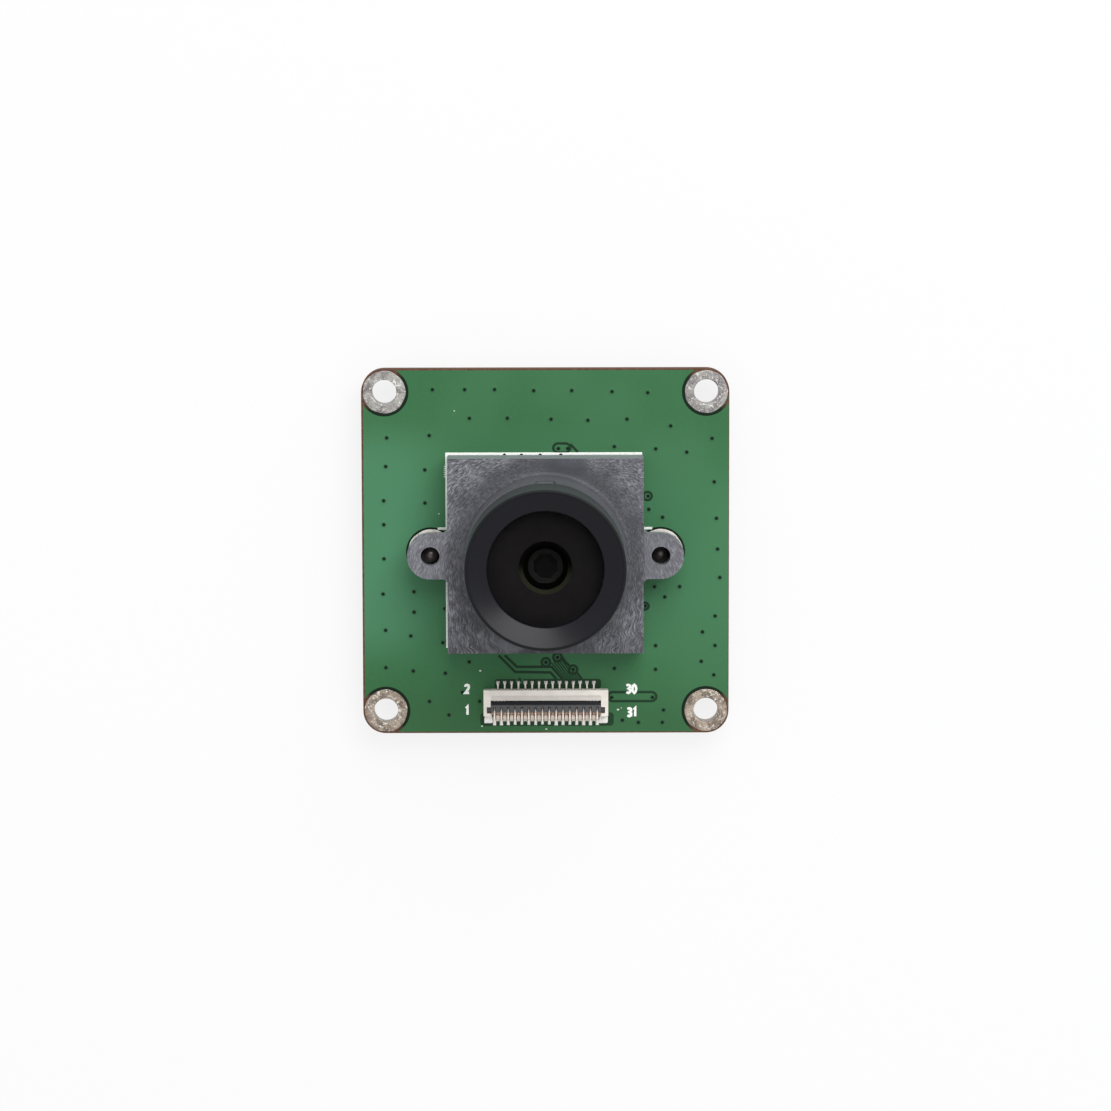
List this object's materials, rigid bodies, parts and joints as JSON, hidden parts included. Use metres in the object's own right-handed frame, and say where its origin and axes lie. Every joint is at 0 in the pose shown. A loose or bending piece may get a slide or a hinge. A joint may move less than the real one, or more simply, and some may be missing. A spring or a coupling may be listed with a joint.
{
  "type": "board camera module",
  "caption": "Square circuit board with a moulded holder and screw-in lens over an image sensor, and a flat-cable connector with a flip lock.",
  "frame": {"origin": "centre of the four corner holes, on the board's back face", "axes": "+Z along the optical axis, out of the lens; -Y towards the board's edge with the flat-cable connector; +X to the right seen from the lens side"},
  "size_m": [0.032, 0.032, 0.0159],
  "materials": {
    "solder_mask": "green solder mask over glass-epoxy laminate",
    "holder_plastic": "glass-fibre filled black moulding, fibres show as light streaks",
    "screw_steel": "black zinc screw",
    "sensor_ceramic": "dark ceramic package",
    "silicon": "pixel array, iridescent",
    "clear_glass": "polished, coated",
    "filter_glass": "infrared coating, faint red reflection",
    "lens_glass": "polished, green coating",
    "barrel_black": "black anodised aluminium, satin",
    "baffle_black": "matt black",
    "ivory_plastic": "ivory liquid-crystal polymer",
    "lock_plastic": "dark grey polymer",
    "contact_metal": "phosphor bronze, plated, soldered",
    "tinned": "tin and solder",
    "package_black": "moulded epoxy",
    "oscillator_white": "ceramic",
    "oscillator_metal": "plated lid",
    "capacitor_tan": "ceramic with tinned ends",
    "resistor_black": "glazed, with tinned ends"
  },
  "bodies": {
    "module": {"board": "solder_mask", "lens_holder": "holder_plastic", "holder_screw_left": "screw_steel", "holder_screw_right": "screw_steel", "ir_filter": "filter_glass", "sensor_package": "sensor_ceramic", "sensor_die": "silicon", "sensor_cover_glass": "clear_glass", "lens_barrel": "barrel_black", "lens_front_ring": "barrel_black", "lens_front_element": "lens_glass", "lens_light_baffle": "baffle_black", "lens_second_element": "lens_glass", "lens_aperture_stop": "baffle_black", "lens_third_element": "lens_glass", "connector_housing": "ivory_plastic", "contacts_edge_row": "contact_metal", "contacts_lens_row": "contact_metal", "connector_tab_left": "tinned", "connector_tab_right": "tinned", "oscillator_base": "oscillator_white", "oscillator_lid": "oscillator_metal", "regulator_1_body": "package_black", "regulator_1_leads": "tinned", "regulator_2_body": "package_black", "regulator_2_leads": "tinned", "capacitor_01": "capacitor_tan", "capacitor_02": "capacitor_tan", "capacitor_03": "capacitor_tan", "capacitor_04": "capacitor_tan", "capacitor_05": "capacitor_tan", "capacitor_06": "capacitor_tan", "capacitor_07": "capacitor_tan", "capacitor_08": "capacitor_tan", "capacitor_09": "capacitor_tan", "capacitor_10": "capacitor_tan", "capacitor_11": "capacitor_tan", "capacitor_12": "capacitor_tan", "capacitor_13": "capacitor_tan", "capacitor_14": "capacitor_tan", "capacitor_15": "capacitor_tan", "capacitor_16": "capacitor_tan", "resistor_1": "resistor_black", "resistor_2": "resistor_black", "resistor_3": "resistor_black", "resistor_4": "resistor_black"},
    "flip_lock": {"connector_actuator": "lock_plastic"}
  },
  "joints": [
    {"name": "flip_lock_hinge", "type": "hinge", "parent": "module", "child": "flip_lock", "pos_m": [0, -0.01385, 0.00215], "axis": [1, 0, 0], "range_deg": [0, 90]}
  ]
}
